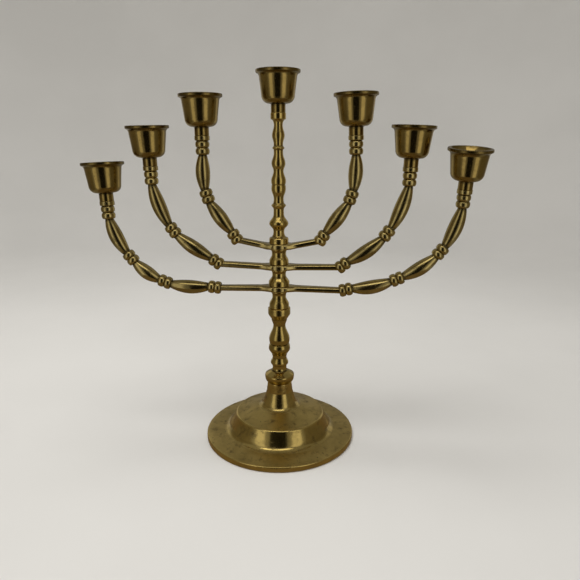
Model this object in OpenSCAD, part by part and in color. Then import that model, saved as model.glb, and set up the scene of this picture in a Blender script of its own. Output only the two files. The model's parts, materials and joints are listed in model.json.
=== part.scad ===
// Seven-branched candle holder: a cast foot, a turned column threaded on one
// tie rod, three cast branch pairs that turn on the rod, and seven candle cups.
// +Z is up, the branches lie along X at rest, and the origin is the centre of
// the foot's underside.

/* [Base] */
// Diameter of the round foot
base_d = 116; // [100:1:130]
// Height of the foot's outer edge
base_edge_h = 4.4; // [3:0.2:6]
// Height of the raised drum above the table, at its rim
base_drum_h = 19.8; // [16:0.2:24]
// Diameter of the raised drum at its rim
base_drum_d = 68; // [60:1:76]
// Height of the foot to the top of its neck
base_h = 44.8; // [40:0.2:50]
// Wall thickness of the hollow foot
base_wall = 2.6; // [2:0.2:4]

/* [Column] */
// Height of the lower stem
lower_stem_h = 60.4; // [54:0.2:66]
// Height of the spacer under the outer branches
spacer_lower_h = 13; // [11:0.2:15]
// Height of the spacer under the middle branches
spacer_middle_h = 12; // [10:0.2:14]
// Height of the spacer under the inner branches
spacer_upper_h = 11.2; // [10:0.2:13]
// Height of the upper stem
upper_stem_h = 91.4; // [84:0.2:98]
// Thickness of a branch pair's hub, with its play
hub_h = 4.4; // [4:0.1:5]
// Radius of a branch pair's hub
hub_r = 8.1; // [7.5:0.1:9]

/* [Tie rod] */
// Diameter of the tie rod
rod_d = 5; // [4:0.5:5.5]
// Height of the rod's lower end above the table
rod_bottom = 21; // [18:1:23]
// Radial clearance of the column pieces on the rod
rod_clearance = 0.1; // [0.05:0.01:0.2]
// Radial running clearance of the branch hubs on the rod
hub_clearance = 0.06; // [0.02:0.01:0.1]
// Play above and below each branch hub
hub_play = 0.12; // [0.05:0.01:0.2]

/* [Candle cups] */
// Height of a cup from the underside of its bowl to its rim
cup_h = 22.4; // [20:0.2:25]
// Radius of the cup's rim
cup_rim_r = 15.4; // [14.6:0.1:16]
// Height of the rim band
cup_rim_h = 2.1; // [1.6:0.1:2.6]
// Radius of the candle bore
candle_r = 10.25; // [9.5:0.05:10.4]
// Height of the turned stem under a branch cup
cup_stem_h = 5.6; // [4:0.1:7]
// Radius of the turned stem under a cup
cup_stem_r = 5.1; // [4.6:0.1:5.4]

/* [Branches] */
// Radius of a bead in the middle of a branch
bead_r = 4.85; // [4.2:0.05:5]
// Radius of the two beads under a cup
top_bead_r = 5; // [4.6:0.1:5.3]
// Distance between the centres of two paired beads
bead_pitch = 4.8; // [4.4:0.1:5]
// Radius of a bud at its middle
bud_r = 5.2; // [4.6:0.05:5.4]
// Radius of the neck between a bud and a bead
neck_r = 2.9; // [2.4:0.1:3.2]
// Height of the flat bar between the hub and the first bead
bar_h = 4.1; // [3.6:0.1:4.2]
// Diameter of the studs that hold the branch cups
stud_d = 4; // [3:0.5:5]
// Length of a cup stud
stud_l = 9; // [7:0.5:10]

/* [Hidden] */
$fn = 96;
EPS = 0.01;
ARC_STEPS = 6;

BRASS = "#b08d3c";
OLD_BRASS = "#8d7638";
STEEL = "#8f8f8a";

// Stack heights along the column.
lower_stem_z = base_h;
spacer_lower_z = lower_stem_z + lower_stem_h;
hub_outer_z = spacer_lower_z + spacer_lower_h;
spacer_middle_z = hub_outer_z + hub_h;
hub_middle_z = spacer_middle_z + spacer_middle_h;
spacer_upper_z = hub_middle_z + hub_h;
hub_inner_z = spacer_upper_z + spacer_upper_h;
upper_stem_z = hub_inner_z + hub_h;
cup_centre_z = upper_stem_z + upper_stem_h;

rod_r = rod_d / 2;
rod_hole_r = rod_r + rod_clearance;
hub_hole_r = rod_r + hub_clearance;
// The rod screws into the centre cup's stem and floor.
rod_top = cup_centre_z + cup_stem_h + 1;

// Under the neck, the foot is bored for the rod and faced for the washer.
neck_seat_z = 28.6;
washer_h = 1.6;
washer_r = 7.4;
nut_h = 4.4;
nut_r = 4.9;

stud_r = stud_d / 2;

// A branch is [bead groups, bud bulges, lean].
// The bead groups are [distance from the column, height above the middle of
// the hub], the last one under the cup. A bulge is how far a bud's middle
// stands out below its chord. The lean is the cup's tilt in degrees, [away from
// the column, towards the front].
OUTER_LEFT = [[[49, -0.4], [87.2, 3.2], [112.4, 21.6], [127.2, 55.6]], [1.2, 1.2, 1.5], [3, -2]];
OUTER_RIGHT = [[[49.8, -0.4], [87.2, 8.4], [117.2, 29.4], [130.6, 66]], [1.6, 1.3, 1.3], [1.9, 6.5]];
MIDDLE_LEFT = [[[47.2, 3], [78.8, 26.4], [92.8, 64.6]], [0.8, 1.35], [1, 1]];
MIDDLE_RIGHT = [[[47.2, 1.8], [78.4, 25.8], [92.4, 64.4]], [1.3, 1.3], [1.9, 0]];
INNER_LEFT = [[[32.4, 6.4], [52.2, 36], [54.2, 70]], [0.4, 0.7], [0.4, 0]];
INNER_RIGHT = [[[31.6, 6.2], [51.8, 36.2], [54.4, 70.2]], [0.4, 0.7], [-1.7, 0]];

// ---------------------------------------------------------------- outlines

// Points after the first of one outline stretch, from a to b as [radius, height].
// "line" is straight. "wave" eases in and out, "round" leaves a along the axis
// and turns, "cove" leaves a square to the axis and turns.
function stretch(a, kind, b) = kind == "line" ? [[b[0], b[1]]] : [
    for (i = [1:ARC_STEPS]) let (
        t = i / ARC_STEPS,
        u = kind == "wave" ? (1 - cos(180 * t)) / 2 : kind == "round" ? 1 - cos(90 * t) : sin(90 * t),
        v = kind == "wave" ? t : kind == "round" ? sin(90 * t) : 1 - cos(90 * t)
    ) [a[0] + (b[0] - a[0]) * u, a[1] + (b[1] - a[1]) * v]
];

// Outline through a list of [radius, height, kind of the stretch that ends here].
function outline(keys) = [
    for (i = [0:len(keys) - 1])
        each (i == 0 ? [[keys[0][0], keys[0][1]]] : stretch(keys[i - 1], keys[i][2], keys[i]))
];

// Outline points of a round corner that starts at radius r and height z and
// climbs inwards, its slope going from one angle to the other.
function corner(r, z, radius, from, to) = [
    for (i = [0:ARC_STEPS]) let (
        a = from + (to - from) * i / ARC_STEPS
    ) [r - radius * (sin(a) - sin(from)), z + radius * (cos(from) - cos(a)), "line"]
];

// Solid turned about the Z axis from its outer outline, which runs upwards.
module turned(keys) {
    points = outline(keys);
    bottom = points[0][1];
    top = points[len(points) - 1][1];
    rotate_extrude() polygon(concat([[0, bottom]], points, [[0, top]]));
}

// The rod's hole through a column piece of height h.
module rod_hole(h, r = rod_hole_r) {
    translate([0, 0, -1]) cylinder(h = h + 2, r = r);
}

// ---------------------------------------------------------------- foot

// Height of the foot's flange where it meets the drum.
flange_in_z = base_edge_h + 1.4;
drum_r = base_drum_d / 2;
drum_foot_r = drum_r + 11.6;
// Radius of the round between flange and drum, and the slope of the drum's side.
drum_round = 8;
drum_slope = 66;
plateau_in_r = 17.2;
plateau_in_z = base_drum_h + 4.7;
// Radius of the round at the neck's foot, and the slopes it joins.
neck_round = 7;
plateau_slope = 17;
neck_slope = 72.5;
neck_top_r = 9.3;

module base() {
    outer = [
        [base_d / 2 - 0.6, 0],
        [base_d / 2, 0.6, "line"],
        [base_d / 2, base_edge_h - 0.9, "line"],
        [base_d / 2 - 0.9, base_edge_h, "round"],
        each corner(drum_foot_r, flange_in_z, drum_round, 0, drum_slope),
        [drum_r + 0.9, base_drum_h - 1.6, "line"],
        [drum_r - 1.4, base_drum_h, "round"],
        each corner(plateau_in_r, plateau_in_z, neck_round, plateau_slope, neck_slope),
        [neck_top_r + 0.9, base_h - 8, "line"],
        [neck_top_r, base_h - 0.4, "line"],
        [neck_top_r - 0.4, base_h, "line"]
    ];
    inner_drum_r = drum_r - base_wall;
    hollow = [
        [base_d / 2 - 3.4, -1],
        [base_d / 2 - 3.4, base_edge_h - 2.4, "line"],
        each corner(drum_foot_r, flange_in_z - base_wall, drum_round + base_wall, 0, drum_slope),
        [inner_drum_r + 1.8, base_drum_h - base_wall - 1.6, "line"],
        [inner_drum_r - 0.4, base_drum_h - base_wall, "round"],
        [washer_r + 5.4, plateau_in_z - base_wall, "line"],
        [washer_r + 0.6, plateau_in_z - base_wall + 1.4, "cove"],
        [washer_r + 0.6, neck_seat_z, "line"]
    ];
    color(BRASS) difference() {
        turned(outer);
        turned(hollow);
        rod_hole(base_h);
    }
}

module base_washer() {
    color(STEEL) translate([0, 0, neck_seat_z - washer_h]) difference() {
        cylinder(h = washer_h, r = washer_r);
        rod_hole(washer_h);
    }
}

module base_nut() {
    color(STEEL) translate([0, 0, neck_seat_z - washer_h - nut_h]) difference() {
        rotate([0, 0, 30]) cylinder(h = nut_h, r = nut_r, $fn = 6);
        rod_hole(nut_h, rod_r + EPS);
    }
}

module tie_rod() {
    color(STEEL) translate([0, 0, rod_bottom]) cylinder(h = rod_top - rod_bottom, r = rod_r);
}

// ---------------------------------------------------------------- column

module lower_stem() {
    h = lower_stem_h;
    keys = [
        [9.1, 0],
        [9.3, 0.3, "line"],
        [11.4, 5.2, "cove"],
        [11.2, 6.2, "wave"],
        [6.8, 8.9, "line"],
        [5.4, 12, "cove"],
        [5.5, 14.2, "line"],
        [6.6, 14.7, "line"],
        [6.8, 16, "wave"],
        [5.4, 20.2, "wave"],
        [5.7, 22, "wave"],
        [8.25, 27.4, "wave"],
        [7.3, 31.2, "round"],
        [6.9, 31.5, "line"],
        [7.4, 32, "line"],
        [7.9, 35.6, "cove"],
        [4.65, 46.2, "wave"],
        [6, 51.6, "wave"],
        [8.1, 54.8, "line"],
        [8.5, 55.6, "round"],
        [8.5, h - 0.4, "line"],
        [8.1, h, "line"]
    ];
    color(BRASS) translate([0, 0, lower_stem_z]) difference() {
        turned(keys);
        rod_hole(h);
    }
}

// A vase-shaped spacer: wide foot, swollen shoulder, waist and flared top.
module spacer(h, foot_r, waist_r, top_r) {
    keys = [
        [foot_r - 0.3, 0],
        [foot_r, 0.3, "line"],
        [foot_r, h * 0.2, "wave"],
        [waist_r, h * 0.64, "wave"],
        [waist_r, h * 0.74, "line"],
        [top_r, h * 0.95, "round"],
        [top_r, h, "line"]
    ];
    color(BRASS) difference() {
        turned(keys);
        rod_hole(h);
    }
}

module spacer_lower() {
    translate([0, 0, spacer_lower_z]) spacer(spacer_lower_h, 7.5, 5.2, 6.6);
}

module spacer_middle() {
    translate([0, 0, spacer_middle_z]) spacer(spacer_middle_h, 7.8, 5.15, 6.2);
}

module spacer_upper() {
    translate([0, 0, spacer_upper_z]) spacer(spacer_upper_h, 7.2, 5.3, 6.5);
}

module upper_stem() {
    h = upper_stem_h;
    keys = [
        [7.0, 0],
        [7.1, 0.2, "line"],
        [7.1, 3.4, "line"],
        [6.6, 4.2, "line"],
        [4, 8.2, "cove"],
        [4.1, 9.6, "line"],
        [7.05, 14.4, "wave"],
        [3.85, 20.8, "wave"],
        [3.75, 23.6, "line"],
        [4.3, 26, "round"],
        [5.4, 27.6, "line"],
        [4.6, 28.6, "line"],
        [3.55, 32.2, "cove"],
        [5.25, 39.4, "wave"],
        [4.85, 42.1, "round"],
        [4.85, 42.6, "line"],
        [5.3, 45.2, "cove"],
        [3.6, 51.8, "wave"],
        [5, 57, "wave"],
        [3.3, 64.2, "wave"],
        [3.35, 66.6, "line"],
        [4.25, 67.4, "line"],
        [4.25, 68, "line"],
        [3.3, 69.2, "line"],
        [3.3, 70.6, "line"],
        [4.5, 76.2, "wave"],
        [3.1, 83, "wave"],
        [5.1, 86.9, "round"],
        [5.4, 87.4, "line"],
        [5.4, h - 0.3, "line"],
        [5.2, h, "line"]
    ];
    color(BRASS) translate([0, 0, upper_stem_z]) difference() {
        turned(keys);
        rod_hole(h);
    }
}

// ---------------------------------------------------------------- candle cups

// Bell cup on its turned stem, rim up, with the bowl's underside at height 0.
// The stem's hole takes a thread of radius hole_r and depth hole_l.
module cup(hole_r, hole_l) {
    floor_z = 4;
    bore_floor_z = 6.8;
    bore_top_z = 17.6;
    mouth_r = cup_rim_r - 2.4;
    keys = [
        [cup_stem_r - 0.2, -cup_stem_h],
        [cup_stem_r, 0.2 - cup_stem_h, "line"],
        [cup_stem_r, 0, "line"],
        [6.2, 0.3, "line"],
        [11.6, 5.8, "cove"],
        [12.1, 10, "line"],
        [12.7, 14.6, "line"],
        [13, 16.8, "line"],
        [cup_rim_r - 0.5, cup_h - cup_rim_h - 0.2, "round"],
        [cup_rim_r, cup_h - cup_rim_h + 0.2, "line"],
        [cup_rim_r, cup_h - 0.3, "line"],
        [cup_rim_r - 0.3, cup_h, "line"]
    ];
    color(BRASS) difference() {
        turned(keys);
        rotate_extrude() polygon([
            [0, floor_z],
            [candle_r - 2.2, floor_z],
            [candle_r, bore_floor_z],
            [candle_r, bore_top_z],
            [mouth_r, cup_h - 1],
            [mouth_r + 0.6, cup_h + EPS],
            [0, cup_h + EPS]
        ]);
        translate([0, 0, -cup_stem_h - 1]) cylinder(h = hole_l + 1, r = hole_r);
    }
}

// Moves a piece of a branch pair from the origin to the middle of its hub.
module at_hub(hub_z) {
    translate([0, 0, hub_z + hub_h / 2]) children();
}

// Moves a piece that stands on a bead group to the branch's tip: side is 1 for
// the right branch and -1 for the left, and lift is the height along the tip.
module at_tip(branch, side, lift) {
    tip = branch[0][len(branch[0]) - 1];
    lean = branch[2];
    translate([side * tip[0], 0, tip[1]])
        rotate([lean[1], side * lean[0], 0])
            translate([0, 0, lift]) children();
}

collar_h = 3.5;
// Height of a branch's end face above the middle of its top bead group.
tip_face = bead_pitch + collar_h;
cup_lift = tip_face + cup_stem_h;
stud_hole_l = stud_l / 2 + 0.4;

module branch_cup(branch, side) {
    at_tip(branch, side, cup_lift) cup(stud_r + EPS, stud_hole_l);
}

module cup_centre() {
    translate([0, 0, cup_centre_z + cup_stem_h]) cup(rod_r + EPS, cup_stem_h + 1.4);
}

module cup_outer_left() { at_hub(hub_outer_z) branch_cup(OUTER_LEFT, -1); }
module cup_outer_right() { at_hub(hub_outer_z) branch_cup(OUTER_RIGHT, 1); }
module cup_middle_left() { at_hub(hub_middle_z) branch_cup(MIDDLE_LEFT, -1); }
module cup_middle_right() { at_hub(hub_middle_z) branch_cup(MIDDLE_RIGHT, 1); }
module cup_inner_left() { at_hub(hub_inner_z) branch_cup(INNER_LEFT, -1); }
module cup_inner_right() { at_hub(hub_inner_z) branch_cup(INNER_RIGHT, 1); }

// One stud in each cup of a branch pair.
module studs(left, right) {
    color(STEEL) {
        at_tip(left, -1, tip_face - stud_l / 2) cylinder(h = stud_l, r = stud_r);
        at_tip(right, 1, tip_face - stud_l / 2) cylinder(h = stud_l, r = stud_r);
    }
}

module studs_outer() { at_hub(hub_outer_z) studs(OUTER_LEFT, OUTER_RIGHT); }
module studs_middle() { at_hub(hub_middle_z) studs(MIDDLE_LEFT, MIDDLE_RIGHT); }
module studs_inner() { at_hub(hub_inner_z) studs(INNER_LEFT, INNER_RIGHT); }

// ---------------------------------------------------------------- branches

function direction(a, b) = atan2(b[1] - a[1], b[0] - a[0]);
function along(p, angle, d) = [p[0] + d * cos(angle), p[1] + d * sin(angle)];
function middle(a, b) = (a + b) / 2;

// Puts a piece that points along +Z at p, pointing at angle above the X axis.
module aim(p, angle) {
    translate([p[0], 0, p[1]]) rotate([0, 90 - angle, 0]) children();
}

// Outline of two beads side by side, centred on height 0, with flat ends.
function bead_pair_keys(r) = let (groove_r = r - 1.1) [
    [groove_r, -bead_pitch],
    [r, -bead_pitch / 2, "cove"],
    [groove_r, 0, "round"],
    [r, bead_pitch / 2, "cove"],
    [groove_r, bead_pitch, "round"]
];

// Half a bud, pointing along +Z from a neck that starts inside the bead at the
// origin to its full radius at height l.
module half_bud(l) {
    neck_in = 2.4;
    neck_out = 0.6;
    turned([
        [neck_r, -neck_in],
        [neck_r, neck_out, "line"],
        [bud_r, l, "cove"]
    ]);
}

// A bent bud between two bead groups' ends, whose middle stands out by bulge.
// Its halves stop short of the bend, and a ball a little wider joins them.
module bud(a, b, bulge) {
    mid = along(middle(a, b), direction(a, b) - 90, bulge);
    bend = direction(mid, b) - direction(a, mid);
    short = bud_r * tan(abs(bend) / 2) + 0.6;
    half = norm(mid - a) - short;
    aim(a, direction(a, mid)) half_bud(half);
    aim(b, direction(b, mid)) half_bud(half);
    aim(mid, direction(a, b)) sphere(r = norm([bud_r, short]) + 0.03);
}

// Angle at which each bead group lies: the first follows its bud, the last
// leans with the cup, and one between two buds halves the turn.
function group_angle(groups, i, lean) =
    i == 0 ? direction(groups[0], groups[1]) :
    i == len(groups) - 1 ? 90 - lean :
    (direction(groups[i - 1], groups[i]) + direction(groups[i], groups[i + 1])) / 2;

// The flat bar from the hub to the first bead's middle: it tapers seen from
// above, and seen from the front it runs level past the hub and then slopes.
module bar(bead_mid) {
    root_x = 3.5;
    root_half_w = 7;
    level_x = hub_r + 0.6;
    shoulder_x = 12;
    shoulder_half_w = 4.2;
    end_half_w = 2.7;
    root_half_h = hub_h / 2 - hub_play - 0.15;
    end_half_h = bar_h / 2;
    past = 1;
    width = 4 * root_half_w;
    height = 2 * (abs(bead_mid[1]) + hub_h + bar_h);
    intersection() {
        linear_extrude(height, center = true) polygon([
            [root_x, -root_half_w], [shoulder_x, -shoulder_half_w], [bead_mid[0], -end_half_w],
            [bead_mid[0], end_half_w], [shoulder_x, shoulder_half_w], [root_x, root_half_w]
        ]);
        rotate([90, 0, 0]) linear_extrude(width, center = true) polygon([
            [root_x - past, -root_half_h], [level_x, -root_half_h],
            [bead_mid[0] + past, bead_mid[1] - end_half_h],
            [bead_mid[0] + past, bead_mid[1] + end_half_h],
            [level_x, root_half_h], [root_x - past, root_half_h]
        ]);
    }
}

// One branch, lying along +X from the column, with its hub's middle at height 0.
module branch(branch) {
    groups = branch[0];
    lean = branch[2];
    last = len(groups) - 1;
    angles = [for (i = [0:last]) group_angle(groups, i, lean[0])];
    bar(along(groups[0], angles[0], -bead_pitch / 2));
    for (i = [0:last - 1]) {
        a = along(groups[i], angles[i], bead_pitch);
        b = along(groups[i + 1], angles[i + 1], -bead_pitch);
        aim(groups[i], angles[i]) turned(bead_pair_keys(bead_r));
        bud(a, b, branch[1][i]);
    }
}

// The beads and collar that carry the cup, pointing along +Z.
module branch_tip() {
    collar_r = 5.35;
    turned(concat(bead_pair_keys(top_bead_r), [
        [4.3, bead_pitch + 0.3, "line"],
        [collar_r, bead_pitch + 0.9, "line"],
        [collar_r, tip_face - 0.4, "line"],
        [collar_r - 0.3, tip_face, "line"]
    ]));
}

// A cast branch pair: hub ring, both branches and the holes for rod and studs.
module branch_pair(left, right) {
    ring_h = hub_h - 2 * hub_play;
    color(OLD_BRASS) difference() {
        union() {
            translate([0, 0, -ring_h / 2]) cylinder(h = ring_h, r = hub_r);
            branch(right);
            mirror([1, 0, 0]) branch(left);
            at_tip(left, -1, 0) branch_tip();
            at_tip(right, 1, 0) branch_tip();
        }
        translate([0, 0, -ring_h / 2]) rod_hole(ring_h, hub_hole_r);
        at_tip(left, -1, tip_face - stud_hole_l) cylinder(h = stud_hole_l + 1, r = stud_r + EPS);
        at_tip(right, 1, tip_face - stud_hole_l) cylinder(h = stud_hole_l + 1, r = stud_r + EPS);
    }
}

module branch_pair_outer() { at_hub(hub_outer_z) branch_pair(OUTER_LEFT, OUTER_RIGHT); }
module branch_pair_middle() { at_hub(hub_middle_z) branch_pair(MIDDLE_LEFT, MIDDLE_RIGHT); }
module branch_pair_inner() { at_hub(hub_inner_z) branch_pair(INNER_LEFT, INNER_RIGHT); }

base();
tie_rod();
base_washer();
base_nut();
lower_stem();
spacer_lower();
spacer_middle();
spacer_upper();
upper_stem();
branch_pair_outer();
branch_pair_middle();
branch_pair_inner();
studs_outer();
studs_middle();
studs_inner();
cup_centre();
cup_outer_left();
cup_outer_right();
cup_middle_left();
cup_middle_right();
cup_inner_left();
cup_inner_right();
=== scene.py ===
"""Finished look of a seven-branched brass candle holder, in the CAD frame, in metres.

The turned pieces are turned again from their own CAD sections, with softened
edges and smooth curves. The cast branch pairs are swept along smooth routes.
"""

import json
import math

import bmesh
import bpy
from mathutils import Matrix, Vector


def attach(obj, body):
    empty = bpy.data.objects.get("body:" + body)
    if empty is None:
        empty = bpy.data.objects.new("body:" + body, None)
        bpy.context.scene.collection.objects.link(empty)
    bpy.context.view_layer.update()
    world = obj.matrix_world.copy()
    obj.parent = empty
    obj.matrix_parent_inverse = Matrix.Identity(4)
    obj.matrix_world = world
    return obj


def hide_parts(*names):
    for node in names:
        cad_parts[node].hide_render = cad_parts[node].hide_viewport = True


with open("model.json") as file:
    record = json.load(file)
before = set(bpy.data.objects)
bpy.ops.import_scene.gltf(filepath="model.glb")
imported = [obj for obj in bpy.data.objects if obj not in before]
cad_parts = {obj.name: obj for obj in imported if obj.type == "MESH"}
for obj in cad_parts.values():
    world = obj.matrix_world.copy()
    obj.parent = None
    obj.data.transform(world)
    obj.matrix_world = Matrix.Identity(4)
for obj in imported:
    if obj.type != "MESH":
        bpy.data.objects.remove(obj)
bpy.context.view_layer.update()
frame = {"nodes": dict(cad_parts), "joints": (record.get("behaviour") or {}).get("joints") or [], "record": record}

MM = 0.001
MOUNTS = {m["name"]: m for m in frame["record"]["mounts"]}
HUB_Z = {j["child"]: j["pos_m"][2] for j in frame["joints"]}
BODIES = frame["record"]["behaviour"]["bodies"]
BODY_OF = {node: body for body, nodes in BODIES.items() for node in nodes}
SLOT_OF = {s["node"]: s["material_slot"] for s in frame["record"]["subparts"]}
SIDES = {"left": -1, "right": 1}

# A cup's bore mount is BORE_MIDDLE above the underside of its bowl, and that
# underside is BOWL_LIFT above the middle of the branch's top bead group.
BORE_MIDDLE = 12.2 * MM
BOWL_LIFT = 13.9 * MM

# Branch routes, as in part.scad and in mm: bead groups [distance from the
# column, height above the hub's middle] before the last, which is the cup's,
# then each bud's bulge below its chord.
ROUTES = {
    ("outer", "left"): ([(49, -0.4), (87.2, 3.2), (112.4, 21.6)], (1.2, 1.2, 1.5)),
    ("outer", "right"): ([(49.8, -0.4), (87.2, 8.4), (117.2, 29.4)], (1.6, 1.3, 1.3)),
    ("middle", "left"): ([(47.2, 3), (78.8, 26.4)], (0.8, 1.35)),
    ("middle", "right"): ([(47.2, 1.8), (78.4, 25.8)], (1.3, 1.3)),
    ("inner", "left"): ([(32.4, 6.4), (52.2, 36)], (0.4, 0.7)),
    ("inner", "right"): ([(31.6, 6.2), (51.8, 36.2)], (0.4, 0.7)),
}

# Sizes of the cast branches, in mm.
BEAD_PITCH = 4.8
BEAD_R = 4.85
TOP_BEAD_R = 5.0
GROOVE = 1.35
NECK_R = 2.9
BUD_R = 5.2
HUB_R = 8.1
HUB_HALF_H = 2.08
HUB_RIM_BEVEL = (0.5, 0.6)
ROD_HOLE_R = 2.56
BAR_ROOT_X = 3.6
BAR_LEVEL_X = HUB_R + 0.6
BAR_HALF_W = 7.0
BAR_HALF_H = 1.93
# A bar is narrowed by the flare up to its end, then tapers and thickens to the bead.
BAR_FLARE, BAR_FLARE_TO_X = 3.0, 14
BAR_TAPER, BAR_THICKENING, BAR_TAPER_FROM_X = 1.2, 0.12, 12
# Powers of a sine that shape a bead and a bud: below 1 is fuller.
BEAD_POWER, BUD_POWER = 0.95, 0.9

# Collar under a cup, from the top bead up: radius and height in mm, and wear.
COLLAR = [
    (4.25, 4.75, 0.9),
    (5.0, 5.1, 0.1),
    (5.3, 5.35, -0.7),
    (5.35, 5.6, -0.3),
    (5.35, 7.7, -0.1),
    (5.32, 7.95, -0.5),
    (5.15, 8.2, -0.6),
    (4.95, 8.3, 0.2),
]

# Vertices round each kind of piece, and steps along a bead, a bud and a bar.
FOOT_SIDES, STEM_SIDES, CUP_SIDES = 144, 72, 96
HUB_SIDES, TIP_SIDES, BUD_SIDES = 72, 36, 28
BEAD_STEPS, BUD_STEPS, ROOT_STEPS, BAR_STEPS = 12, 30, 5, 24

# Cutting a CAD node: the weld distance, a grid that joins equal points, and a
# cut just off the facets' own edges.
WELD = 2e-6
GRID_PER_M = 2e5
CUT_ANGLE = math.radians(0.9)

# Outlines: a turn below STRAIGHT_DEG is no bend, and one above CORNER_DEG is a
# corner that gets a round of FILLET. The curve between is FINEST long per step.
STRAIGHT_DEG = 0.6
CORNER_DEG = 24.0
FINEST = 0.35 * MM
MOST_STEPS = 8
LONG_RUN = 1.2 * MM
# A segment this many times longer than its neighbour sets the tangent between them.
LONGER = 2.5
FILLET = 0.3 * MM
FILLET_STEPS = 4

# How far along an outline a hollow is judged, and the shift of that stretch's
# middle, as a share of the reach, that counts as fully hollow or proud.
FOOT_REACH, STEM_REACH, HUB_REACH = 3.0 * MM, 1.6 * MM, 1.2 * MM
FULL_SHIFT = 0.3

# A cup's rim band gets a painted dark reflection: it is darkened to at least this wear value above this height
# over its underside.
CUP_RIM_PAINTED_REFLECTION_FROM = 20.0 * MM
CUP_RIM_PAINTED_REFLECTION = 0.42

# Place that the studio's lights and cards face.
STUDIO_MIDDLE = (0, 0, 0.16)

DARK, BROWN, PALE = (0.012, 0.011, 0.009), (0.15, 0.13, 0.09), (1.0, 0.96, 0.87)
WARM = (0.22, 0.165, 0.095)

# Cards round the object: colour, glow, place for around(), width and height.
CARDS = {
    "card_front": (DARK, 1.0, (2, 2, 0.62), 0.44, 1.1),
    "card_band_left": (PALE, 0.66, (-40, 2, 0.85), 0.32, 1.3),
    "card_band_right": (PALE, 0.74, (44, 2, 0.85), 0.34, 1.3),
    "card_key": (PALE, 1.6, (-6, 60, 0.95), 0.9, 0.24),
    "card_left": (BROWN, 1.0, (-92, 2, 0.9), 1.1, 1.3),
    "card_right": (BROWN, 1.0, (95, 2, 0.9), 1.1, 1.3),
    "card_band_back_left": (PALE, 0.42, (-142, 2, 0.85), 0.34, 0.7),
    "card_band_back_right": (PALE, 0.42, (142, 2, 0.85), 0.34, 0.7),
}

# Brass finishes. Colours are base metal, the same metal worn, and tarnish; the
# other values are described in brass().
FINISHES = {
    "cast_foot": {
        "bright": (0.68, 0.51, 0.175),
        "worn": (0.5, 0.37, 0.12),
        "tarnish": (0.17, 0.12, 0.05),
        "rough": 0.17,
        "mottle": 0.8,
        "lathe": 0.08,
        "waviness": 0.03,
        "recess_depth": 0.2,
        "proud_gain": 0.35,
        "dull": 0.2,
    },
    "turned_brass": {
        "bright": (0.64, 0.47, 0.15),
        "worn": (0.47, 0.345, 0.105),
        "tarnish": (0.06, 0.042, 0.016),
        "rough": 0.15,
        "mottle": 0.4,
        "lathe": 0.08,
        "waviness": 0.03,
        "recess_depth": 0.8,
        "proud_gain": 0.3,
    },
    "cup_brass": {
        "bright": (0.42, 0.3, 0.098),
        "worn": (0.3, 0.21, 0.064),
        "tarnish": (0.06, 0.042, 0.016),
        "rough": 0.16,
        "mottle": 0.35,
        "lathe": 0.1,
        "waviness": 0.02,
        "recess_depth": 0.85,
        "proud_gain": 0.1,
    },
    "cast_branch": {
        "bright": (0.55, 0.43, 0.17),
        "worn": (0.4, 0.31, 0.12),
        "tarnish": (0.055, 0.041, 0.017),
        "rough": 0.19,
        "mottle": 0.45,
        "lathe": 0.0,
        "waviness": 0.07,
        "recess_depth": 0.85,
        "proud_gain": 0.35,
    },
}


# ------------------------------------------------------------------ outlines


def leaning(mount, below):
    """Matrix to the point this far below a cup's bore mount, with Z along the cup's axis."""
    axis = Vector(mount["axis"]).normalized()
    turn = Vector((0, 0, 1)).rotation_difference(axis).to_matrix().to_4x4()
    return Matrix.Translation(Vector(mount["pos_m"]) - axis * below) @ turn


def local_frame(node):
    """Matrix from a turned node's own frame, with its axis along Z, to the part's frame."""
    mount = MOUNTS.get(node.replace("cup_", "candle_"))
    return leaning(mount, BORE_MIDDLE) if mount else Matrix.Identity(4)


def cut_edges(node, to_local):
    """Edges where a half plane through the axis cuts a CAD node.

    Returns each point's neighbours and each point's (radius, height), by grid key.
    """
    bm = bmesh.new()
    bm.from_mesh(frame["nodes"][node].data)
    bm.transform(to_local)
    bmesh.ops.remove_doubles(bm, verts=bm.verts, dist=WELD)
    across = Vector((math.cos(CUT_ANGLE), math.sin(CUT_ANGLE), 0))
    normal = Vector((-math.sin(CUT_ANGLE), math.cos(CUT_ANGLE), 0))
    cut = bmesh.ops.bisect_plane(
        bm,
        geom=bm.verts[:] + bm.edges[:] + bm.faces[:],
        dist=1e-8,
        plane_co=(0, 0, 0),
        plane_no=normal,
    )
    links, where = {}, {}
    for edge in cut["geom_cut"]:
        if not isinstance(edge, bmesh.types.BMEdge):
            continue
        ends = sorted(((v.co.dot(across), v.co.z) for v in edge.verts), key=lambda e: e[0])
        (r0, z0), (r1, z1) = ends
        if r1 < 1e-6:
            continue
        if r0 < 1e-6:
            z0 = z0 + (z1 - z0) * (0 - r0) / (r1 - r0)
            r0 = 0.0
        a, b = [(round(r * GRID_PER_M), round(z * GRID_PER_M)) for r, z in ((r0, z0), (r1, z1))]
        if a == b:
            continue
        where[a], where[b] = (r0, z0), (r1, z1)
        links.setdefault(a, set()).add(b)
        links.setdefault(b, set()).add(a)
    bm.free()
    return links, where


def cad_section(node, to_local):
    """Half section of a turned CAD node as [(radius, height)], and whether it is open.

    A solid that reaches its axis has an open outline, and one with a hole a closed one.
    """
    links, where = cut_edges(node, to_local)
    ends = [k for k, near in links.items() if len(near) == 1]
    start = min(ends or links, key=lambda k: (k[1], k[0]))
    path, before, here = [start], None, start
    while True:
        ahead = [k for k in links[here] if k != before and k not in path[1:]]
        if not ahead or ahead[0] == start:
            break
        before, here = here, ahead[0]
        path.append(here)
    return [where[k] for k in path], bool(ends)


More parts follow.
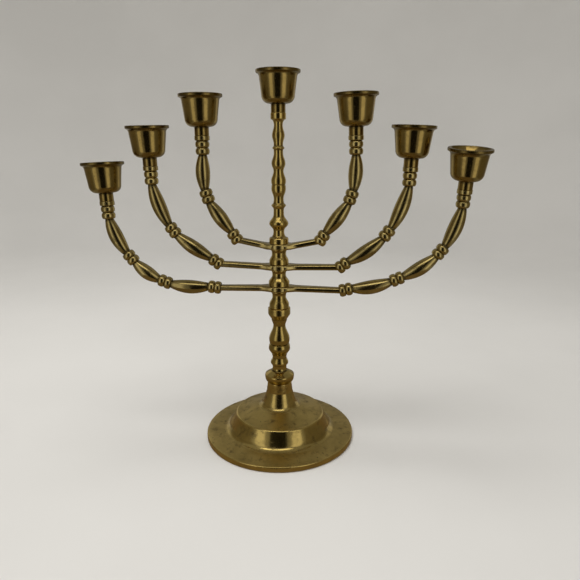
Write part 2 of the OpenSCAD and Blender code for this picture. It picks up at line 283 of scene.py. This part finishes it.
def turn_at(points, i, is_open):
    """Change of direction at a point of an outline, in degrees."""
    n = len(points)
    if is_open and i in (0, n - 1):
        return 180.0
    a, b, c = (Vector(points[(i + d) % n]) for d in (-1, 0, 1))
    if (b - a).length < 1e-9 or (c - b).length < 1e-9:
        return 0.0
    return math.degrees((b - a).angle(c - b))


def cleaned(points, is_open):
    """Outline without points that lie on a straight run."""
    kept = points
    for _ in range(3):
        kept = [p for i, p in enumerate(kept) if turn_at(kept, i, is_open) > STRAIGHT_DEG]
    return kept


def tangent(vectors, i, going, is_corner):
    """Unit tangent at point i, for the segment after it (going 1) or before it (-1)."""
    n = len(vectors)
    a, b, c = vectors[(i - 1) % n], vectors[i], vectors[(i + 1) % n]
    if is_corner:
        return (c - b).normalized() if going > 0 else (b - a).normalized()
    la, lc = (b - a).length, (c - b).length
    if la > LONGER * lc:
        return (b - a).normalized()
    if lc > LONGER * la:
        return (c - b).normalized()
    return ((b - a).normalized() * lc + (c - b).normalized() * la).normalized()


def smoothed(points, is_open):
    """Outline with smooth curves between its corners and a small round on each corner."""
    n = len(points)
    corners = [turn_at(points, i, is_open) > CORNER_DEG for i in range(n)]
    vectors = [Vector(p) for p in points]
    result = []
    for i in range(n - 1 if is_open else n):
        j = (i + 1) % n
        a, b = vectors[i], vectors[j]
        length = (b - a).length
        ta = tangent(vectors, i, 1, corners[i]) * length
        tb = tangent(vectors, j, -1, corners[j]) * length
        if ta.angle(b - a) < 0.004 and tb.angle(b - a) < 0.004:
            cuts = [0.0, 0.5] if length > LONG_RUN else [0.0]
        else:
            steps = max(1, min(MOST_STEPS, round(length / FINEST)))
            cuts = [k / steps for k in range(steps)]
        for t in cuts:
            h = (1 + 2 * t) * (1 - t) ** 2 * a + t * (1 - t) ** 2 * ta
            h += t * t * (3 - 2 * t) * b + t * t * (t - 1) * tb
            result.append((h, corners[i] and t == 0.0))
    if is_open:
        result.append((vectors[-1], True))
    return filleted(result, is_open)


def filleted(marked, is_open):
    """Replaces each marked corner by a small round, held in place by close points."""
    n = len(marked)
    result = []
    for i, (p, is_corner) in enumerate(marked):
        end = is_open and i in (0, n - 1)
        if end or not is_corner:
            result.append(p)
            continue
        a, b = marked[(i - 1) % n][0], marked[(i + 1) % n][0]
        reach = min(FILLET, 0.4 * (a - p).length, 0.4 * (b - p).length)
        to_a, to_b = (a - p).normalized(), (b - p).normalized()
        pa, pb = p + to_a * reach, p + to_b * reach
        result.append(pa + to_a * reach * 0.35)
        for k in range(FILLET_STEPS + 1):
            t = k / FILLET_STEPS
            result.append(pa * (1 - t) ** 2 + p * (2 * t * (1 - t)) + pb * t * t)
        result.append(pb + to_b * reach * 0.35)
    return result


def middle_nearby(points, i, is_open, reach):
    """Middle of the outline within reach of point i, or None where there is none."""
    n = len(points)
    near = Vector((0, 0))
    weight = 0.0
    for way in (-1, 1):
        walked, k = 0.0, i
        while walked < reach:
            ahead = k + way
            if is_open and not 0 <= ahead < n:
                break
            step = (points[ahead % n] - points[k % n]).length
            near += (points[ahead % n] + points[k % n]) / 2 * step
            weight += step
            walked += step
            k = ahead
    return near / weight if weight else None


def hollowness(points, is_open, reach):
    """Wear value of each outline point, from -1 where it stands proud to 1 in a recess."""
    n = len(points)
    after = points[1:] + points[:1]
    area = sum(a.x * b.y - b.x * a.y for a, b in zip(points, after))
    out_sign = 1 if area > 0 else -1
    values = []
    for i, point in enumerate(points):
        if is_open:
            a, b = points[max(i - 1, 0)], points[min(i + 1, n - 1)]
        else:
            a, b = points[i - 1], points[(i + 1) % n]
        along = (b - a).normalized() if (b - a).length > 0 else Vector((0, 1))
        outward = Vector((along.y, -along.x)) * out_sign
        middle = middle_nearby(points, i, is_open, reach)
        shift = Vector((0, 0)) if middle is None else middle - point
        values.append(max(-1.0, min(1.0, shift.dot(outward) / (FULL_SHIFT * reach))))
    return values


# -------------------------------------------------------------------- meshes


def spun(points, is_open, values, count):
    """Vertices, faces and wear of an outline turned about the Z axis."""
    verts, faces, wear, rings = [], [], [], []
    for p, value in zip(points, values):
        if p.x < 1e-6:
            rings.append([len(verts)] * count)
            verts.append((0, 0, p.y))
            wear.append(value)
            continue
        rings.append([len(verts) + k for k in range(count)])
        for k in range(count):
            a = 2 * math.pi * k / count
            verts.append((p.x * math.cos(a), p.x * math.sin(a), p.y))
            wear.append(value)
    pairs = list(zip(rings, rings[1:]))
    if not is_open:
        pairs.append((rings[-1], rings[0]))
    for low, high in pairs:
        for k in range(count):
            k2 = (k + 1) % count
            face = [low[k], low[k2], high[k2], high[k]]
            face = [v for i, v in enumerate(face) if v not in face[:i]]
            if len(face) > 2:
                faces.append(face)
    return verts, faces, wear


def tube_faces(rings):
    """Faces between neighbouring rings of vertices, with a cap at each end."""
    faces = []
    for low, high in zip(rings, rings[1:]):
        for k in range(len(low)):
            k2 = (k + 1) % len(low)
            faces.append([low[k], low[k2], high[k2], high[k]])
    return faces + [rings[0], rings[-1]]


def make_piece(name, verts, faces, wear, matrix, material):
    """A smooth-shaded mesh object with its faces pointing outwards.

    Its wear attribute holds the wear values, and on cup rims a painted dark reflection; the brass materials read
    it.
    """
    mesh = bpy.data.meshes.new(name)
    mesh.from_pydata(verts, [], faces)
    mesh.attributes.new("hollow", "FLOAT", "POINT").data.foreach_set("value", wear)
    bm = bmesh.new()
    bm.from_mesh(mesh)
    bmesh.ops.recalc_face_normals(bm, faces=bm.faces)
    bm.to_mesh(mesh)
    bm.free()
    mesh.polygons.foreach_set("use_smooth", [True] * len(mesh.polygons))
    mesh.materials.append(material)
    piece = bpy.data.objects.new(name, mesh)
    bpy.context.scene.collection.objects.link(piece)
    piece.matrix_world = matrix
    return piece


def stand_for(piece, node):
    """Puts a finished piece in the place of its CAD node."""
    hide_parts(node)
    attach(piece, BODY_OF[node])


def turned_piece(node, material, count, reach=STEM_REACH, painted_reflection_above=None):
    """Turns a CAD node again from its own section, smooth and with soft edges.

    Above the height given by its last argument, in its own frame, it is darkened like tarnish: a painted dark
    reflection on the cup's rim band.
    """
    place = local_frame(node)
    points, is_open = cad_section(node, place.inverted())
    points = smoothed(cleaned(points, is_open), is_open)
    values = hollowness(points, is_open, reach)
    # Painted dark reflection: the rim band is darkened as if it mirrored the studio's dark front.
    if painted_reflection_above is not None:
        values = [max(v, CUP_RIM_PAINTED_REFLECTION) if p.y > painted_reflection_above else v for p, v in zip(points, values)]
    verts, faces, wear = spun(points, is_open, values, count)
    stand_for(make_piece(node + "_turned", verts, faces, wear, place, material), node)


# ------------------------------------------------------------------ branches


def unit(angle):
    """Unit vector in the branch's plane."""
    return Vector((math.cos(angle), math.sin(angle)))


def heading(a, b):
    """Angle of the way from a to b."""
    return math.atan2(b[1] - a[1], b[0] - a[0])


def bead_pair(r):
    """(distance along, radius, wear) through two round beads, from end to end."""
    rows = []
    for centre, first in ((-BEAD_PITCH / 2, 0), (BEAD_PITCH / 2, 1)):
        for k in range(first, BEAD_STEPS + 1):
            u = -math.cos(math.pi * k / BEAD_STEPS)
            swell = math.sin(math.pi * k / BEAD_STEPS) ** BEAD_POWER
            along = centre + u * BEAD_PITCH / 2
            rows.append((along, r - GROOVE + GROOVE * swell, 0.85 - 1.6 * swell))
    return rows


def route_of(level, side):
    """Bead groups in mm with the cup's group last, their angles, and the buds' bulges."""
    groups, bulges = ROUTES[level, side]
    groups = [Vector(g) for g in groups]
    sign = SIDES[side]
    mount = MOUNTS[f"candle_{level}_{side}"]
    axis = Vector(mount["axis"])
    tip = leaning(mount, BORE_MIDDLE + BOWL_LIFT).translation / MM
    groups.append(Vector((sign * tip.x, tip.z - HUB_Z[level + "_branches"] / MM)))
    chords = [heading(a, b) for a, b in zip(groups, groups[1:])]
    angles = [chords[0]] + [(a + b) / 2 for a, b in zip(chords, chords[1:])]
    angles.append(math.atan2(axis.z, sign * axis.x))
    return groups, angles, bulges


def bezier(a, angle_a, b, angle_b, hold, t):
    """Point and heading at t on a cubic curve with the given end headings and handle length."""
    p = [a, a + unit(angle_a) * hold, b - unit(angle_b) * hold, b]
    s = 1 - t
    point = p[0] * s**3 + p[1] * 3 * s * s * t + p[2] * 3 * s * t * t + p[3] * t**3
    slope = (p[1] - p[0]) * s * s + (p[2] - p[1]) * 2 * s * t + (p[3] - p[2]) * t * t
    return point, math.atan2(slope.y, slope.x)


def bud_rows(a, b, bulge):
    """Cross-sections (point, heading, radius, wear) of a slightly bent spindle from a to b."""
    chord = (b - a).length
    main = heading(a, b)
    half_turn = 2 * math.atan(2 * bulge / chord)
    rows = []
    for k in range(BUD_STEPS + 1):
        t = k / BUD_STEPS
        point, angle = bezier(a, main - half_turn, b, main + half_turn, chord / 3, t)
        swell = math.sin(math.pi * t) ** BUD_POWER
        wear = 0.8 * (1 - swell) ** 3 - 0.25 * swell
        rows.append((point, angle, NECK_R + (BUD_R - NECK_R) * swell, wear))
    return rows


def swept(rows, sign, lift):
    """Round tube through rows of (point, heading, radius, wear), closed at both ends."""
    verts, wear, rings = [], [], []
    for point, angle, r, value in rows:
        across = unit(angle + math.pi / 2)
        rings.append(list(range(len(verts), len(verts) + BUD_SIDES)))
        for k in range(BUD_SIDES):
            a = 2 * math.pi * k / BUD_SIDES
            flat = point + across * (r * math.cos(a))
            verts.append((sign * flat.x * MM, r * math.sin(a) * MM, flat.y * MM + lift))
            wear.append(value)
    return verts, tube_faces(rings), wear


def bar_section(half_w, half_h):
    """Rectangle with rounded edges, wider ones on top, as (across, up) pairs."""
    top, low = min(1.3, half_h * 0.62), min(0.8, half_h * 0.4)
    corners = [
        (half_w, half_h, top, top * 0.9),
        (-half_w, half_h, top, top * 0.9),
        (-half_w, -half_h, low, low),
        (half_w, -half_h, low, low),
    ]
    points = []
    for i, (x, z, cut_x, cut_z) in enumerate(corners):
        sx, sz = (1 if x > 0 else -1), (1 if z > 0 else -1)
        on_side, on_flat = (x, z - sz * cut_z), (x - sx * cut_x, z)
        first, last = (on_side, on_flat) if i in (0, 2) else (on_flat, on_side)
        for t in (0.0, 0.12, 0.3, 0.5, 0.7, 0.88, 1.0):
            pull = 0.42 * 2 * t * (1 - t)
            px = first[0] * (1 - t) + last[0] * t
            pz = first[1] * (1 - t) + last[1] * t
            points.append((px + (x - px) * pull, pz + (z - pz) * pull))
    return points


def bar_rows(end):
    """(point, heading, half width, half height) from inside the hub to the first bead.

    Level inside the hub, then straight to the bead, wide at the hub and tapering.
    """
    start = Vector((BAR_LEVEL_X, 0))
    slope = heading(start, end)
    rows = []
    for k in range(ROOT_STEPS):
        x = BAR_ROOT_X + (BAR_LEVEL_X - BAR_ROOT_X) * k / ROOT_STEPS
        rows.append((Vector((x, 0)), 0.0))
    for k in range(BAR_STEPS + 1):
        t = k / BAR_STEPS
        rows.append((start.lerp(end, t), slope * min(1.0, 8 * t)))
    shaped = []
    for point, angle in rows:
        near = max(0.0, min(1.0, (point.x - BAR_ROOT_X) / (BAR_FLARE_TO_X - BAR_ROOT_X)))
        far = max(0.0, min(1.0, (point.x - BAR_TAPER_FROM_X) / (end.x - BAR_TAPER_FROM_X)))
        flare = near * near * (3 - 2 * near)
        width = BAR_HALF_W - BAR_FLARE * flare - BAR_TAPER * far
        shaped.append((point, angle, width, BAR_HALF_H + BAR_THICKENING * far))
    return shaped


def bar_mesh(rows, sign, lift):
    """Bevelled bar through its rows, closed at both ends."""
    verts, wear, rings = [], [], []
    for point, angle, half_w, half_h in rows:
        up = unit(angle + math.pi / 2)
        ring = []
        for y, z in bar_section(half_w, half_h):
            flat = point + up * z
            ring.append(len(verts))
            verts.append((sign * flat.x * MM, y * MM, flat.y * MM + lift))
            edge = abs(y) / half_w + abs(z) / half_h
            wear.append(-0.5 if edge > 1.45 else 0.05)
        rings.append(ring)
    return verts, tube_faces(rings), wear


def hub_mesh(lift):
    """Hub ring with a rod hole and softly rounded rims."""
    in_by, down_by = HUB_RIM_BEVEL
    corners = [
        (ROD_HOLE_R, -HUB_HALF_H),
        (HUB_R - in_by, -HUB_HALF_H),
        (HUB_R, -HUB_HALF_H + down_by),
        (HUB_R, HUB_HALF_H - down_by),
        (HUB_R - in_by, HUB_HALF_H),
        (ROD_HOLE_R, HUB_HALF_H),
    ]
    points = smoothed([(r * MM, z * MM + lift) for r, z in corners], False)
    return spun(points, False, hollowness(points, False, HUB_REACH), HUB_SIDES)


def tip_mesh(level, side):
    """The two beads and the collar under a cup, leaning with it."""
    rows = [(r, s, v) for s, r, v in bead_pair(TOP_BEAD_R)] + COLLAR
    rows = [(0, rows[0][1], 0.9)] + rows + [(0, rows[-1][1], 0.5)]
    points = [Vector((r, s)) * MM for r, s, _ in rows]
    verts, faces, wear = spun(points, True, [v for _, _, v in rows], TIP_SIDES)
    placed = leaning(MOUNTS[f"candle_{level}_{side}"], BORE_MIDDLE + BOWL_LIFT)
    return [tuple(placed @ Vector(v)) for v in verts], faces, wear


def branch_pieces(level, side):
    """Meshes of one branch: bar, bead groups and buds, and the cup's seat."""
    groups, angles, bulges = route_of(level, side)
    sign = SIDES[side]
    lift = HUB_Z[level + "_branches"]
    bar_end = groups[0] - unit(angles[0]) * (BEAD_PITCH / 2)
    rows = []
    for i, bulge in enumerate(bulges):
        along = unit(angles[i])
        for s, r, value in bead_pair(BEAD_R):
            rows.append((groups[i] + along * s, angles[i], r, value))
        a = groups[i] + along * BEAD_PITCH
        b = groups[i + 1] - unit(angles[i + 1]) * BEAD_PITCH
        rows += bud_rows(a, b, bulge)
    inside_tip = groups[-1] - unit(angles[-1]) * (BEAD_PITCH / 2)
    rows.append((inside_tip, angles[-1], NECK_R, 0.8))
    bar = bar_mesh(bar_rows(bar_end), sign, lift)
    return [bar, swept(rows, sign, lift), tip_mesh(level, side)]


def branch_pair(level, material):
    """One cast branch pair as a single piece."""
    parts = [hub_mesh(HUB_Z[level + "_branches"])]
    for side in SIDES:
        parts += branch_pieces(level, side)
    verts, faces, wear = [], [], []
    for part_verts, part_faces, part_wear in parts:
        start = len(verts)
        verts += part_verts
        wear += part_wear
        faces += [[start + v for v in face] for face in part_faces]
    node = "branch_pair_" + level
    stand_for(make_piece(node + "_cast", verts, faces, wear, Matrix.Identity(4), material), node)


# ----------------------------------------------------------------- materials


class Nodes:
    """Small helper that adds and links shader nodes."""

    def __init__(self, name):
        self.material = bpy.data.materials.new(name)
        self.material.use_nodes = True
        self.tree = self.material.node_tree
        self.shader = self.tree.nodes["Principled BSDF"]
        places = self.tree.nodes.new("ShaderNodeTexCoord").outputs
        self.coords, self.normals = places["Object"], places["Normal"]

    def link(self, source, target):
        self.tree.links.new(source, target)

    def add(self, kind, **settings):
        node = self.tree.nodes.new(kind)
        for key, value in settings.items():
            setattr(node, key, value)
        return node

    def noise(self, scale, detail=4.0, rough=0.55, vector=None, distortion=0.0):
        """Noise from 0 to 1; scale is in cycles per metre."""
        node = self.add("ShaderNodeTexNoise")
        node.inputs["Scale"].default_value = scale
        node.inputs["Detail"].default_value = detail
        node.inputs["Roughness"].default_value = rough
        node.inputs["Distortion"].default_value = distortion
        self.link(vector or self.coords, node.inputs["Vector"])
        return node.outputs["Fac"]

    def ranged(self, source, low, high, to_low=0.0, to_high=1.0):
        """Smooth step from to_low at low to to_high at high."""
        node = self.add("ShaderNodeMapRange")
        node.interpolation_type = "SMOOTHSTEP"
        values = {"From Min": low, "From Max": high, "To Min": to_low, "To Max": to_high}
        for key, value in values.items():
            node.inputs[key].default_value = value
        self.link(source, node.inputs["Value"])
        return node.outputs["Result"]

    def maths(self, operation, a, b):
        node = self.add("ShaderNodeMath", operation=operation)
        for socket, value in zip(node.inputs, (a, b)):
            if isinstance(value, (int, float)):
                socket.default_value = value
            else:
                self.link(value, socket)
        return node.outputs[0]

    def swing(self, source, size):
        """Source's distance from its middle of 0.5, times size."""
        return self.maths("MULTIPLY", self.maths("SUBTRACT", source, 0.5), size)

    def mix(self, amount, a, b):
        node = self.add("ShaderNodeMix", data_type="RGBA")
        self.link(amount, node.inputs["Factor"])
        for socket, value in ((node.inputs[6], a), (node.inputs[7], b)):
            if isinstance(value, tuple):
                socket.default_value = (*value, 1.0)
            else:
                self.link(value, socket)
        return node.outputs[2]

    def level(self, low, high, most):
        """0 on walls, up to most on faces that look straight up."""
        parts = self.add("ShaderNodeSeparateXYZ")
        self.link(self.normals, parts.inputs[0])
        return self.ranged(parts.outputs[2], low, high, 0.0, most)

    def attribute(self, name):
        return self.add("ShaderNodeAttribute", attribute_name=name).outputs["Fac"]

    def turning(self, scale):
        """Noise in rings about the piece's axis, like the marks of a lathe tool."""
        parts = self.add("ShaderNodeSeparateXYZ")
        self.link(self.coords, parts.inputs[0])
        squares = [self.maths("MULTIPLY", parts.outputs[i], parts.outputs[i]) for i in (0, 1)]
        radius = self.maths("SQRT", self.maths("ADD", *squares), 0.0)
        joined = self.add("ShaderNodeCombineXYZ")
        self.link(radius, joined.inputs[0])
        self.link(parts.outputs[2], joined.inputs[2])
        return self.noise(scale, 2.0, 0.6, joined.outputs[0])

    def bump(self, height, strength, distance, normal=None):
        node = self.add("ShaderNodeBump")
        node.inputs["Strength"].default_value = strength
        node.inputs["Distance"].default_value = distance
        self.link(height, node.inputs["Height"])
        if normal is not None:
            self.link(normal, node.inputs["Normal"])
        return node.outputs["Normal"]

    def finish(self, colour, roughness, normal, metallic=1.0):
        self.link(colour, self.shader.inputs["Base Color"])
        self.link(roughness, self.shader.inputs["Roughness"])
        self.link(normal, self.shader.inputs["Normal"])
        self.shader.inputs["Metallic"].default_value = metallic
        return self.material


def brass(
    name, bright, worn, tarnish, rough, mottle, lathe, waviness, recess_depth, proud_gain, dull=0.0
):
    """Old brass: uneven colour, tarnish in the recesses, paler proud edges, pits and tool marks.

    rough is the mean roughness, mottle the strength of tarnish patches and pits,
    lathe that of the tool marks, and waviness that of slow dents. recess_depth is
    how dark recesses get from tarnish, and also how dark the painted dark
    reflection on a cup's rim band gets; proud_gain is how pale the edges. Faces
    that look up are rougher by up to dull, from dust and handling.
    """
    n = Nodes(name)
    hollow = n.attribute("hollow")
    broad = n.noise(48.0, 5.0, 0.6, distortion=0.6)
    cloud = n.noise(170.0, 6.0, 0.65)
    fine = n.noise(1300.0, 3.0, 0.6)
    pits = n.ranged(n.noise(520.0, 2.0, 0.5), 0.7, 0.76)

    base = n.mix(n.ranged(broad, 0.34, 0.68), bright, worn)
    patch = n.maths("MULTIPLY", n.ranged(cloud, 0.5, 0.76), mottle)
    # Tarnish in the recesses, and on cup rims a painted dark reflection, both carried by the wear values.
    ragged_hollow = n.maths("ADD", hollow, n.swing(cloud, 0.9))
    recess = n.ranged(ragged_hollow, 0.08, 0.72, 0.0, recess_depth)
    dark = n.maths("MAXIMUM", patch, recess)
    dark = n.maths("MAXIMUM", dark, n.maths("MULTIPLY", pits, min(1.0, mottle * 1.6)))
    proud = n.ranged(n.maths("MULTIPLY", hollow, -1.0), 0.35, 0.95, 0.0, proud_gain)
    colour = n.mix(dark, base, tarnish)
    colour = n.mix(proud, colour, tuple(min(1.0, c * 1.25) for c in bright))

    roughness = n.ranged(cloud, 0.3, 0.75, rough * 0.8, rough * 1.25)
    roughness = n.maths("ADD", roughness, n.maths("MULTIPLY", dark, 0.14))
    roughness = n.maths("ADD", roughness, n.swing(fine, 0.06))
    normal = n.bump(n.noise(95.0, 2.0, 0.4), waviness, 0.0006)
    normal = n.bump(fine, 0.06, 0.00005, normal)
    normal = n.bump(n.maths("SUBTRACT", 1.0, pits), 0.3, 0.00015, normal)
    if dull:
        roughness = n.maths("ADD", roughness, n.level(0.86, 0.99, dull))
    if lathe:
        rings = n.turning(1500.0)
        normal = n.bump(rings, lathe, 0.00006, normal)
        roughness = n.maths("ADD", roughness, n.swing(rings, 0.07))
    return n.finish(colour, roughness, normal)


def steel(name):
    """Plain steel with a slight grey-brown film and fine scratches."""
    n = Nodes(name)
    cloud = n.noise(260.0, 5.0, 0.6)
    fine = n.noise(2200.0, 2.0, 0.5)
    colour = n.mix(n.ranged(cloud, 0.35, 0.7), (0.5, 0.49, 0.46), (0.27, 0.25, 0.22))
    roughness = n.ranged(cloud, 0.3, 0.8, 0.3, 0.5)
    return n.finish(colour, roughness, n.bump(fine, 0.2, 0.00005))


def pale_floor():
    """Matt pale floor with the faintest mottling."""
    n = Nodes("pale_floor")
    colour = n.mix(n.ranged(n.noise(3.0, 3.0), 0.3, 0.7), (0.66, 0.65, 0.63), (0.7, 0.69, 0.67))
    roughness = n.ranged(n.noise(40.0), 0.2, 0.8, 0.6, 0.7)
    return n.finish(colour, roughness, n.bump(n.noise(900.0), 0.05, 0.0002), 0.0)


# --------------------------------------------------------------------- stage


def floor():
    """Round pale floor that curves up into the same backdrop on every side."""
    flat_r, bend, wall_h, sides, bend_steps = 0.8, 0.6, 1.5, 96, 16
    outline = [(flat_r, 0.0)]
    for k in range(1, bend_steps + 1):
        a = math.radians(90 * k / bend_steps)
        outline.append((flat_r + bend * math.sin(a), bend * (1 - math.cos(a))))
    outline.append((flat_r + bend, wall_h))
    verts, faces = [(0.0, 0.0, 0.0)], []
    for r, z in outline:
        for k in range(sides):
            a = 2 * math.pi * k / sides
            verts.append((r * math.cos(a), r * math.sin(a), z))
    for k in range(sides):
        k2 = (k + 1) % sides
        faces.append((0, 1 + k, 1 + k2))
        for row in range(len(outline) - 1):
            low, high = 1 + row * sides, 1 + (row + 1) * sides
            faces.append((low + k, high + k, high + k2, low + k2))
    mesh = bpy.data.meshes.new("floor")
    mesh.from_pydata(verts, [], faces)
    mesh.polygons.foreach_set("use_smooth", [True] * len(mesh.polygons))
    mesh.materials.append(pale_floor())
    plane = bpy.data.objects.new("floor", mesh)
    bpy.context.scene.collection.objects.link(plane)
    plane.visible_glossy = False


def card(name, colour, glow, centre, width, height, facing):
    """Studio card seen only in reflections: near-black, or lit from within."""
    material = bpy.data.materials.new(name)
    material.use_nodes = True
    shader = material.node_tree.nodes["Principled BSDF"]
    shader.inputs["Base Color"].default_value = (0.0, 0.0, 0.0, 1.0)
    shader.inputs["Roughness"].default_value = 1.0
    shader.inputs["Specular IOR Level"].default_value = 0.0
    shader.inputs["Emission Color"].default_value = (*colour, 1.0)
    shader.inputs["Emission Strength"].default_value = glow
    w, h = width / 2, height / 2
    mesh = bpy.data.meshes.new(name)
    mesh.from_pydata([(-w, 0, -h), (w, 0, -h), (w, 0, h), (-w, 0, h)], [], [(0, 1, 2, 3)])
    mesh.materials.append(material)
    plane = bpy.data.objects.new(name, mesh)
    bpy.context.scene.collection.objects.link(plane)
    plane.location = centre
    aim = Vector(facing) - Vector(centre)
    plane.rotation_euler = aim.to_track_quat("Y", "Z").to_euler()
    plane.visible_camera = False
    plane.visible_diffuse = False
    plane.visible_shadow = False


def softbox(name, centre, width, height, power, colour):
    """Soft rectangular light that no reflection shows: the cards stand for it there."""
    data = bpy.data.lights.new(name, "AREA")
    data.shape = "RECTANGLE"
    data.size, data.size_y = width, height
    data.energy = power
    data.color = colour
    light = bpy.data.objects.new(name, data)
    bpy.context.scene.collection.objects.link(light)
    light.location = centre
    aim = Vector(STUDIO_MIDDLE) - Vector(centre)
    light.rotation_euler = aim.to_track_quat("-Z", "Y").to_euler()
    light.visible_glossy = False


def around(azimuth, elevation, distance):
    """Place round the object: azimuth 0 is the front, and 90 is its right."""
    a, e = math.radians(azimuth), math.radians(elevation)
    way = Vector((math.sin(a) * math.cos(e), -math.cos(a) * math.cos(e), math.sin(e)))
    return Vector(STUDIO_MIDDLE) + distance * way


def studio():
    """Even soft light with a dark opening in front, as in a light tent."""
    world = bpy.data.worlds.new("studio")
    world.use_nodes = True
    background = world.node_tree.nodes["Background"]
    background.inputs["Color"].default_value = (0.6, 0.575, 0.515, 1.0)
    background.inputs["Strength"].default_value = 0.38
    bpy.context.scene.world = world
    softbox("softbox_top", (-0.2, -0.1, 1.2), 0.9, 0.9, 14.0, (1.0, 0.99, 0.97))
    for name, (colour, glow, place, width, height) in CARDS.items():
        card(name, colour, glow, around(*place), width, height, STUDIO_MIDDLE)
    card("card_below", WARM, 0.75, (0, 0, -0.004), 0.48, 0.48, (0, 0, 1))


def camera():
    """Camera at the photograph's viewing angle."""
    data = bpy.data.cameras.new("camera")
    data.sensor_width = 36.0
    data.lens = 33.8
    data.clip_start = 0.01
    data.dof.use_dof = False
    eye = bpy.data.objects.new("camera", data)
    bpy.context.scene.collection.objects.link(eye)
    eye.location = (0.0375, -0.3944, 0.2267)
    eye.rotation_euler = (math.radians(74.75), 0.0, math.radians(4.25))
    bpy.context.scene.camera = eye


# ---------------------------------------------------------------------- main

bpy.context.scene.view_settings.view_transform = "Standard"
camera()
floor()
studio()

finishes = {name: brass(name, **values) for name, values in FINISHES.items()}
plain_steel = steel("plain_steel")

turned_piece("base", finishes["cast_foot"], FOOT_SIDES, FOOT_REACH)
for stem in ("lower_stem", "spacer_lower", "spacer_middle", "spacer_upper", "upper_stem"):
    turned_piece(stem, finishes["turned_brass"], STEM_SIDES)
for cup in [node for node in frame["nodes"] if node.startswith("cup_")]:
    turned_piece(cup, finishes["cup_brass"], CUP_SIDES, painted_reflection_above=CUP_RIM_PAINTED_REFLECTION_FROM)
for level in ("outer", "middle", "inner"):
    branch_pair(level, finishes["cast_branch"])
for node, piece in frame["nodes"].items():
    if SLOT_OF[node] == "steel":
        piece.data.materials.clear()
        piece.data.materials.append(plain_steel)
